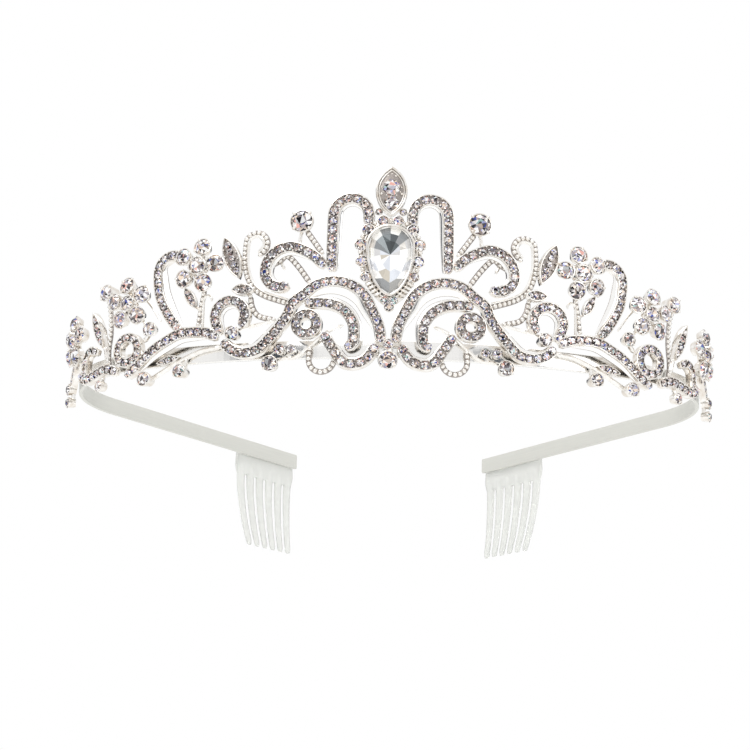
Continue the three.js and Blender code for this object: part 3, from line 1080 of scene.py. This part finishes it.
class TIARA_OT_scrolls(bpy.types.Operator):
    """Make the scrolled castings with their rows of small stones"""

    bl_idname = "tiara.scrolls"
    bl_label = "Scrolls"

    def execute(self, context):
        width = sizes().channel_width / MM
        for lift, (node, points) in enumerate(SCROLLS.items()):
            back = BACK - 0.04 * lift
            body = channel(points, width, back)
            stones, grains = row_of_stones(points, width, back)
            walls = [flange(points, *run, back) for run in FLANGES[node]]
            set_pair(node, [body] + walls + grains, stones)
        return {"FINISHED"}


class TIARA_OT_rings(bpy.types.Operator):
    """Make the round castings with a ring of stones"""

    bl_idname = "tiara.rings"
    bl_label = "Rings"

    def execute(self, context):
        for node, (centre, outer, hole) in RINGS.items():
            body = ring_channel(centre, outer, hole, BACK - 0.1)
            middle = (outer + hole) / 2
            radius = min(sizes().stone_radius / MM, (outer - hole) / 2 - 0.22)
            count = int(2 * math.pi * middle / (2.12 * radius))
            stones, grains = [], []
            for i in range(count):
                angle = 2 * math.pi * i / count
                stones.append(stone_at(
                    centre[0] + middle * math.cos(angle), centre[1] + middle * math.sin(angle),
                    BACK + DEPTH - 0.32, radius, 1.3 * i))
                angle += math.pi / count
                grains.append(grain_at(
                    centre[0] + (outer - 0.42) * math.cos(angle),
                    centre[1] + (outer - 0.42) * math.sin(angle), BACK + DEPTH - 0.12, 0.24))
            set_pair(node, [body] + grains, stones)
        return {"FINISHED"}


class TIARA_OT_leaves(bpy.types.Operator):
    """Make the pointed leaf settings"""

    bl_idname = "tiara.leaves"
    bl_label = "Leaves"

    def execute(self, context):
        for node, (tip, foot, width, count) in LEAVES.items():
            metal = leaf(tip, foot, width)
            stones, grains = leaf_stones(tip, foot, width, count)
            if node == "outer_leaf":
                metal.append(rod(((66.5, 6), (66, 4.5), (65.5, 2.5)), 0.5, 2.6))
            set_pair(node, metal + grains, stones)
        return {"FINISHED"}


class TIARA_OT_flowers(bpy.types.Operator):
    """Make the five-petalled flowers, each petal a stone in a cup, with their stems"""

    bl_idname = "tiara.flowers"
    bl_label = "Flowers"

    def execute(self, context):
        for node, (centre, reach, petal, middle, first) in FLOWERS.items():
            metal, stones = [], []
            for i in range(5):
                angle = math.radians(first - 72 * i)
                out = (centre[0] + reach * math.cos(angle), centre[1] + reach * math.sin(angle))
                lean = (-0.2 * math.sin(angle), 0.2 * math.cos(angle))
                cup, stone = cupped_stone(*out, 1.3 * petal, 2.1, 3.9, angle, lean)
                metal += [cup, rod((centre, out), 0.5, 2.4, metal=silver())]
                stones.append(stone)
                grain = (centre[0] + 0.58 * reach * math.cos(angle + 0.628),
                         centre[1] + 0.58 * reach * math.sin(angle + 0.628))
                metal.append(grain_at(*grain, 3.1, 0.42))
            cup, stone = cupped_stone(*centre, 1.15 * middle, 2.0, 4.1)
            metal.append(cup)
            stones.append(stone)
            extra_metal, extra_stones = getattr(self, node)()
            set_pair(node, metal + extra_metal, stones + extra_stones)
        return {"FINISHED"}

    def inner_flower(self):
        tip, foot = (45.5, 17), (42.5, 12)
        stones, grains = leaf_stones(tip, foot, 2.2, 3, WIRE_BACK, 1.1)
        metal = beaded(((42, 19.5), (41, 16), (41.5, 12.5), (42, 8.5)))
        metal += leaf(tip, foot, 2.2, WIRE_BACK, 1.1, 0.25) + [
            rod(((42.5, 12.5), (41.5, 11)), 0.35),
            rod((*arc(40, 13.8, 1, 200, 0), (41, 11), (41, 7.5)), 0.33),
            rod(((41, 19), (41.5, 19.5)), 0.6, 2.0),
        ]
        return metal + grains, stones

    def outer_flower(self):
        cup, stone = cupped_stone(53, 8, 1.7)
        metal = [
            cup,
            rod(((56.5, 12), (54.5, 9.5), (53, 8)), 0.55, 2.5),
            rod(((53, 8), (54, 6.5), (55, 5.5)), 0.55, 2.5),
            rod(((57.5, 16.5), (54.5, 14), (51.5, 10)), 0.3, 1.3),
        ]
        return metal, [stone]

    def end_flower(self):
        metal, stones = cupped_stones((83, -1, 1.4), (83, -4, 1.3))
        stem = ((79.5, 6.5), (80.5, 3.5), (82, 1), (83, -1))
        row, grains = row_of_stones(stem, 1.6, 1.8, 1.5, 0.62, 1.4)
        metal += [channel(stem, 1.8, 1.8, 1.5), rod(((83, -1), (83, -4)), 0.5, 2.4)]
        return metal + grains, stones + row


class TIARA_OT_low_vine(bpy.types.Operator):
    """Make the low vine casting with its curl and drop"""

    bl_idname = "tiara.low_vine"
    bl_label = "Low vine"

    def execute(self, context):
        runs = (
            ((62, -0.5), (65.5, 0.5), (70.5, -0.5), (73.5, -0.5), (76.5, 1)),
            ((69, 5), *arc(71, 3, 2.7, 100, 20), (74, 0.5)),
        )
        metal, stones = [], []
        for points, width in zip(runs, (2.4, 2.0)):
            row, grains = row_of_stones(points, width, radius=0.36 * width)
            metal += [channel(points, width)] + grains
            stones += row
        cup, stone = cupped_stone(67, -3, 1.4)
        metal += [cup, rod(((67, -0.5), (67, -3)), 0.5, 2.5)]
        set_pair("low_vine", metal, stones + [stone])
        return {"FINISHED"}


class TIARA_OT_wires(bpy.types.Operator):
    """Make the beaded wires, the twigs and the stones that stand on them"""

    bl_idname = "tiara.wires"
    bl_label = "Wires"

    def execute(self, context):
        for node in ("twig", "bead_loop", "curl_wire", "swan_wire", "berry_pin", "ball_pin",
                     "bud_pin", "drop_twig"):
            metal, stones = getattr(self, node)()
            set_pair(node, metal, stones)
        return {"FINISHED"}

    def drops(self, *spots):
        """Stones in cups that reach back to their wire."""
        return cupped_stones(*spots, back=WIRE_BACK)

    def twig(self):
        metal, stones = self.drops((24.5, -1.5, 1.8), (22.5, 1.5, 1.2), (20, 1.5, 1.0))
        line = ((9.5, 7), (13, 5.5), (19, 0.5), (22, 0), (24.5, -0.5))
        return metal + [rod(line, 0.42)], stones

    def bead_loop(self):
        return beaded(((16.5, 2), *arc(14, -0.4, 2.7, 0, -180))), []

    def curl_wire(self):
        line = ((17, 16.5), (19.5, 20), (22, 22.5), (23.5, 21.5), (25.5, 20.5))
        return beaded(line) + [rod(((23.5, 21.5), (22.5, 19.5)), 0.36)], []

    def swan_wire(self):
        path = smooth_path(SWAN)
        inner = []
        for i in range(0, len(path), 8):
            ahead = path[min(i + 1, len(path) - 1)] - path[max(i - 1, 0)]
            inner.append(path[i] + Vector((ahead.y, -ahead.x)).normalized() * 0.75)
        return beaded(SWAN) + [rod(inner, 0.42, WIRE_OUT + 0.1, 0.6)], []

    def berry_pin(self):
        metal, stones = self.drops((33, 5.5, 1.6))
        metal.append(rod(((34, 6.5), (28.5, 7.5), (23.5, 8.5)), 0.4))
        return metal + beaded(((24.5, 8.5), (28, 9.5), (29.5, 11.5), (30, 14))), stones

    def ball_pin(self):
        metal, stones = self.drops((18.5, 29.5, 2.6))
        metal.append(rod(((19, 28), (19.5, 25)), 0.42))
        return metal + beaded(((18, 28), (14.5, 23))), stones

    def bud_pin(self):
        metal, stones = self.drops((66, 18, 2.0))
        line = ((68.5, 18.5), (67, 14), (66.5, 9.5), (67, 5), (66.5, 1.5))
        return metal + beaded(line), stones

    def drop_twig(self):
        metal, stones = self.drops((45, -2, 1.6), (54, -3, 1.7))
        line = ((36.5, 3), (41, 2.5), (47, 0.3), (54, -3))
        metal += [rod(line, 0.55, 1.2), rod(((44.5, 1.5), (45, -1.5)), 0.45)]
        tip, foot = (46, 1.5), (52, 0.5)
        row, grains = leaf_stones(tip, foot, 2.0, 3, WIRE_BACK, 1.1)
        metal += leaf(tip, foot, 2.0, WIRE_BACK, 1.1, 0.25) + grains
        return metal, stones + row


class TIARA_OT_centre_cup(bpy.types.Operator):
    """Make the cup below the halo with the bail above it"""

    bl_idname = "tiara.centre_cup"
    bl_label = "Centre cup"

    def execute(self, context):
        low, low_stone = cupped_stone(0, -1, 2.1, BACK, 3.9)
        high, high_stone = cupped_stone(0, 2.5, 1.2)
        link = rod(((0, -0.5), (0, 2.5)), 0.8, 2.5, metal=silver())
        set_middle("centre_cup_setting", "centre_cup", [low, high, link],
                   [low_stone, high_stone], "centre_cup_stones")
        return {"FINISHED"}


class TIARA_OT_halo(bpy.types.Operator):
    """Make the pear-shaped halo: back plate, double bezel, cups and claws"""

    bl_idname = "tiara.halo"
    bl_label = "Halo"

    def execute(self, context):
        metal = [
            plate_of((pear_points(2.3), pear_points(0.5)), 1.9, 2.6),
            plate_of((pear_points(0.75), pear_points(0.25)), 2.4, 4.5, 0.12),
            plate_of((pear_points(1.35), pear_points(1.05)), 2.4, 3.7),
        ]
        stones = []
        for angle, radius in HALO_CUPS:
            s, h = pear_point(HALO_REACH, math.radians(angle))
            for side in (-1, 1):
                cup, stone = cupped_stone(side * s, h, radius, BACK, 3.9, 0.4 * side * h)
                metal.append(cup)
                stones.append(stone)
        cup, stone = cupped_stone(0, 10.5, 1.1, BACK, 3.8)
        metal.append(cup)
        stones.append(stone)
        for side in (-1, 1):
            for angle in HALO_GRAINS:
                s, h = pear_point(HALO_REACH + 0.2, math.radians(angle))
                metal.append(grain_at(side * s, h, 3.6, 0.5))
            for i in range(4):
                s, h = 4.5 - 0.62 * i, 15.5 - 0.75 * i
                claw = rod(((s - 1.0, h + 0.35), (s + 0.55, h - 0.35)), 0.36, 3.6, metal=silver())
                metal.append(placed(claw, scale=(side, 1, 1)))
        set_middle("halo_setting_metal", "halo_setting", metal, stones, "halo_stones")
        return {"FINISHED"}


class TIARA_OT_marquise(bpy.types.Operator):
    """Make the pointed setting at the top with its two stones"""

    bl_idname = "tiara.marquise"
    bl_label = "Marquise"

    def execute(self, context):
        tip, foot, width = MARQUISE
        metal = leaf(tip, foot, width, BACK, 1.9, 0.42, True)
        metal.append(plate_of((leaf_points(tip, foot, width - 1.6),), BACK, 3.1, 0.05))
        for side in (-1, 1):
            metal += [
                grain_at(side * 2.1, 35.5, 3.3, 0.36), grain_at(side * 1, 32.5, 3.2, 0.26),
                grain_at(side * 0.8, 39.5, 3.2, 0.28), cup_at(side * 2.5, 31.5, 0.85, BACK, 3.2),
            ]
        metal += [grain_at(0, 40, 3.2, 0.26), grain_at(0, 29.5, 3.5, 0.55)]
        for i in range(7):
            angle = math.radians(180 + 30 * i)
            metal.append(grain_at(2.05 * math.cos(angle), 37 + 2.05 * math.sin(angle), 3.2, 0.22))
        side_stones = [stone_at(side * 2.5, 31.5, 3.1, 0.7, side) for side in (-1, 1)]
        set_middle("marquise_setting_metal", "marquise_setting", metal, side_stones,
                   "marquise_side_stones")
        for name, h, radius in (
                ("marquise_upper_stone", 37, 1.9), ("marquise_lower_stone", 33.5, 1.62)):
            stone = stone_at(0, h, 3.35, radius, 0.3)
            set_piece(stone, name + "_cut", (name,), smooth=False)
        return {"FINISHED"}


class TIARA_OT_pear_crystal(bpy.types.Operator):
    """Cut the big pear crystal, facet by facet"""

    bl_idname = "tiara.pear_crystal"
    bl_label = "Pear crystal"

    def execute(self, context):
        stone = new_primitive(bpy.ops.mesh.primitive_circle_add, vertices=CRYSTAL_SIDES, radius=1,
                              fill_type="NGON")
        outline = smooth_ring(pear_points(0.15), CRYSTAL_SIDES)
        for vertex, corner in zip(stone.data.vertices, outline):
            vertex.co = (*corner, CUP_FRONT)
        waist = (0, CRYSTAL_WAIST, 0)
        edit_all(stone)
        bpy.ops.mesh.extrude_region_move(TRANSFORM_OT_translate={"value": (0, 0, 1.0)})
        bpy.ops.transform.resize(value=(0.74, 0.74, 1), center_override=waist)
        bpy.ops.mesh.extrude_region_move(TRANSFORM_OT_translate={"value": (0, 0, 0.6)})
        bpy.ops.transform.resize(value=(0.62, 0.62, 1), center_override=waist)
        bpy.ops.mesh.poke(offset=0.35)
        leave()
        pick(stone, "FACE", lambda c, n: n.z < -0.9)
        bpy.ops.mesh.extrude_region_move(TRANSFORM_OT_translate={"value": (0, 0, -1.4)})
        bpy.ops.transform.resize(value=(0.3, 0.3, 1), center_override=waist)
        leave()
        finish_in(stone, finish("cut_crystal", lay_crystal))
        edit_all(stone)
        bpy.ops.mesh.quads_convert_to_tris()
        bpy.ops.mesh.normals_make_consistent(inside=False)
        leave()
        # Each facet keeps its painted reflection as a face attribute.
        painted_lights = stone.data.attributes.new("painted_facet_light", "FLOAT", "FACE")
        for face, tone in zip(stone.data.polygons, painted_lights.data):
            tone.value = painted_facet_light(face.center)
        set_piece(stone, "pear_crystal_cut", ("pear_crystal",), smooth=False)
        return {"FINISHED"}


def smooth_ring(points, count):
    """That many evenly spaced points round a closed outline, from its lowest point."""
    ring = [Vector(p) for p in points]
    low = min(range(len(ring)), key=lambda i: ring[i].y)
    ring = ring[low:] + ring[:low]
    ring.append(ring[0])
    total = length_of(ring)
    spots, done, at = [], 0.0, 0
    for i in range(count):
        want = total * i / count
        while done + (ring[at + 1] - ring[at]).length < want:
            done += (ring[at + 1] - ring[at]).length
            at += 1
        step = (ring[at + 1] - ring[at]).length
        spots.append(ring[at].lerp(ring[at + 1], (want - done) / step))
    return spots


def painted_facet_light(centre):
    """How bright a facet of the pear crystal looks, from 0 dark to 1 white, by its place: a painted
    reflection.
    """
    angle = math.degrees(math.atan2(centre.x, centre.y - CRYSTAL_WAIST)) % 360
    sector = int(angle / (360 / CRYSTAL_SIDES))
    if centre.z > 5.3:
        return INNER_FACETS[sector]
    return MIDDLE_FACETS[sector] if centre.z > 4.75 else OUTER_FACETS[sector]


class TIARA_OT_combs(bpy.types.Operator):
    """Mould the two clear combs on the ends of the arms"""

    bl_idname = "tiara.combs"
    bl_label = "Combs"

    teeth: bpy.props.IntProperty(name="Teeth", description="Teeth of each comb", default=6, min=2)
    hollow: length_setting("Hollow", "How far the tips curve in towards the head", 0.0026)

    def execute(self, context):
        low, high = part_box("right_comb")
        tip, top = low.z / MM, high.z / MM
        width, shoulder = COMB_WIDTH, COMB_SHOULDER
        middle = half_length() - width / 2
        pitch = (width - TOOTH_ROOT) / (self.teeth - 1)
        parts = []
        for tooth in range(self.teeth):
            root = (tooth - (self.teeth - 1) / 2) * pitch
            line = [(root, -1.6)]
            for level in range(6):
                drop = level / 5
                line.append((root * (1 - (1 - COMB_TAPER) * drop ** 1.6),
                             shoulder + (tip + 0.3 - shoulder) * drop))
            parts.append(rod(line, 1.85, 0.75, 0.62, comb_plastic(), 0.42, 12))
            parts.append(rod(line, 0.5, 1.35, 0.8, comb_plastic(), 1.0, 8))
        spine = new_primitive(bpy.ops.mesh.primitive_cube_add, size=1)
        placed(spine, location=(0, (top + shoulder) / 2, 0.62),
               scale=(width, top - shoulder, 0.95))
        finish_in(spine, comb_plastic())
        bevel(spine, 0.3, 3, lambda a, b: True)
        parts += [
            spine,
            rod(((-width / 2 + 0.4, -0.7), (width / 2 - 0.4, -0.7)), 0.45, 1.1,
                metal=comb_plastic()),
        ]
        for side in (-1, 1):
            edge = ((width / 2 - 0.3, top - 0.6), (width / 2 + 0.2, shoulder / 2),
                    (width / 2 - 0.7, shoulder))
            parts.append(rod([(side * s, h) for s, h in edge], 0.6, 0.75, metal=comb_plastic()))
        comb = joined(parts, "comb")
        fuse = comb.modifiers.new("fuse", "REMESH")
        fuse.mode = "VOXEL"
        fuse.voxel_size = 0.26
        apply_modifier(comb, fuse)
        soften = comb.modifiers.new("soften", "SMOOTH")
        soften.iterations = 2
        apply_modifier(comb, soften)
        for vertex in comb.data.vertices:
            drop = max(0.0, (shoulder - vertex.co.y) / (shoulder - tip))
            vertex.co.z += 0.8 - self.hollow / MM * drop ** 2
        for side, flip in (("right_", 1), ("left_", -1)):
            twin = comb if flip < 0 else copied(comb)
            placed(twin, location=(flip * middle, 0, 0), scale=(flip, 1, 1))
            piece = set_piece(twin, side + "comb_moulding", (side + "comb",))
            only(piece)
            bpy.ops.object.shade_smooth()
        return {"FINISHED"}


class TIARA_OT_stage(bpy.types.Operator):
    """Set the floor, the soft lights and the camera"""

    bl_idname = "tiara.stage"
    bl_label = "Stage"

    def execute(self, context):
        self.floor()
        self.sky(context.scene)
        self.lights()
        self.camera(context.scene)
        context.scene.view_settings.view_transform = "Standard"
        return {"FINISHED"}

    def floor(self):
        plane = new_primitive(
            bpy.ops.mesh.primitive_plane_add, size=6, location=(0, 0, -0.25))
        plane.name = "floor"
        finish_in(plane, finish("floor_paper", lay_paper))

    def sky(self, scene):
        """A white backdrop, and a pale room with two dark screens for the metal to mirror."""
        world = bpy.data.worlds.new("studio")
        scene.world = world
        world.use_nodes = True
        tree = world.node_tree
        tree.nodes.clear()
        towards = node(tree, "TexCoord").outputs["Generated"]
        parts = node(tree, "SeparateXYZ", {"Vector": towards}).outputs
        sideways = node(tree, "Math", {0: parts["X"]}, operation="ABSOLUTE").outputs["Value"]
        height = node(tree, "Math", {0: parts["Z"]}, operation="ABSOLUTE").outputs["Value"]
        band = node(tree, "MapRange", {"Value": height, "From Min": 0.45, "From Max": 0.28})
        panels = node(tree, "Math", {0: ramp(tree, sideways, SCREENS), 1: band.outputs["Result"]},
                      operation="MULTIPLY")
        tone = mix_colours(tree, panels.outputs["Value"], (1, 1, 1), (0.04, 0.05, 0.07))
        room = node(tree, "Background", {"Color": tone})
        backdrop = node(tree, "Background", {"Color": (1, 1, 1, 1)})
        seen = node(tree, "LightPath").outputs["Is Camera Ray"]
        mix = node(tree, "MixShader", {
            "Fac": seen, 1: room.outputs["Background"], 2: backdrop.outputs["Background"]})
        node(tree, "OutputWorld", {"Surface": mix.outputs["Shader"]})

    def lights(self):
        for name, place, width, power in (
                ("key_softbox", (-0.5, -1.1, 0.9), 0.8, 4),
                ("fill_softbox", (0.9, -0.9, 0.3), 0.6, 1.5),
                ("top_softbox", (0.0, 0.2, 1.3), 1.0, 4)):
            data = bpy.data.lights.new(name, "AREA")
            data.size = width
            data.energy = power
            lamp = bpy.data.objects.new(name, data)
            bpy.context.scene.collection.objects.link(lamp)
            aim = -Vector(place)
            lamp.matrix_world = (
                Matrix.Translation(place) @ aim.to_track_quat("-Z", "Y").to_matrix().to_4x4())

    def camera(self, scene):
        """In front and a little below, looking up at the ornament."""
        data = bpy.data.cameras.new("camera")
        data.lens = 101
        data.sensor_width = 36
        data.clip_start, data.clip_end = 0.05, 20
        camera = bpy.data.objects.new("camera", data)
        scene.collection.objects.link(camera)
        scene.camera = camera
        yaw, rise, roll = math.radians(-0.77), math.radians(12.07), math.radians(1.41)
        ahead = Vector((math.sin(yaw) * math.cos(rise), math.cos(yaw) * math.cos(rise),
                        math.sin(rise)))
        right = Vector((math.cos(yaw), -math.sin(yaw), 0))
        up = right.cross(ahead)
        across = right * math.cos(roll) + up * math.sin(roll)
        upright = up * math.cos(roll) - right * math.sin(roll)
        turn = Matrix((across, upright, -ahead)).transposed().to_4x4()
        camera.matrix_world = Matrix.Translation((0.0032, -0.506, -0.0965)) @ turn


class TIARA_PT_panel(bpy.types.Panel):
    """The tiara's pieces, in the order they are made"""

    bl_idname = "TIARA_PT_panel"
    bl_label = "Bridal tiara"
    bl_space_type = "VIEW_3D"
    bl_region_type = "UI"
    bl_category = "Tiara"

    def draw(self, context):
        layout = self.layout
        for settings in (context.scene.tiara_sizes, context.scene.tiara_colours):
            box = layout.box()
            for name in settings.bl_rna.properties.keys():
                if name not in ("rna_type", "name"):
                    box.prop(settings, name)
        for operator in OPERATORS:
            layout.operator(operator.bl_idname)


OPERATORS = (
    TIARA_OT_headband, TIARA_OT_scrolls, TIARA_OT_rings, TIARA_OT_leaves, TIARA_OT_flowers,
    TIARA_OT_low_vine, TIARA_OT_wires, TIARA_OT_centre_cup, TIARA_OT_halo, TIARA_OT_marquise,
    TIARA_OT_pear_crystal, TIARA_OT_combs, TIARA_OT_stage,
)
CLASSES = (TiaraSizes, TiaraColours) + OPERATORS + (TIARA_PT_panel,)


def register():
    """Adds the settings, the operators and the panel."""
    for cls in CLASSES:
        bpy.utils.register_class(cls)
    bpy.types.Scene.tiara_sizes = bpy.props.PointerProperty(type=TiaraSizes)
    bpy.types.Scene.tiara_colours = bpy.props.PointerProperty(type=TiaraColours)


def unregister():
    """Takes them away again."""
    del bpy.types.Scene.tiara_colours
    del bpy.types.Scene.tiara_sizes
    for cls in reversed(CLASSES):
        bpy.utils.unregister_class(cls)


def main():
    """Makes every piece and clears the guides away."""
    register()
    bpy.ops.tiara.headband()
    bpy.ops.tiara.scrolls()
    bpy.ops.tiara.rings()
    bpy.ops.tiara.leaves()
    bpy.ops.tiara.flowers()
    bpy.ops.tiara.low_vine()
    bpy.ops.tiara.wires()
    bpy.ops.tiara.centre_cup()
    bpy.ops.tiara.halo()
    bpy.ops.tiara.marquise()
    bpy.ops.tiara.pear_crystal()
    bpy.ops.tiara.combs()
    bpy.ops.tiara.stage()
    bpy.data.objects.remove(bpy.data.objects["band_plan"])
    for source in PATTERNS.values():
        bpy.data.objects.remove(source)


if __name__ == "__main__":
    main()
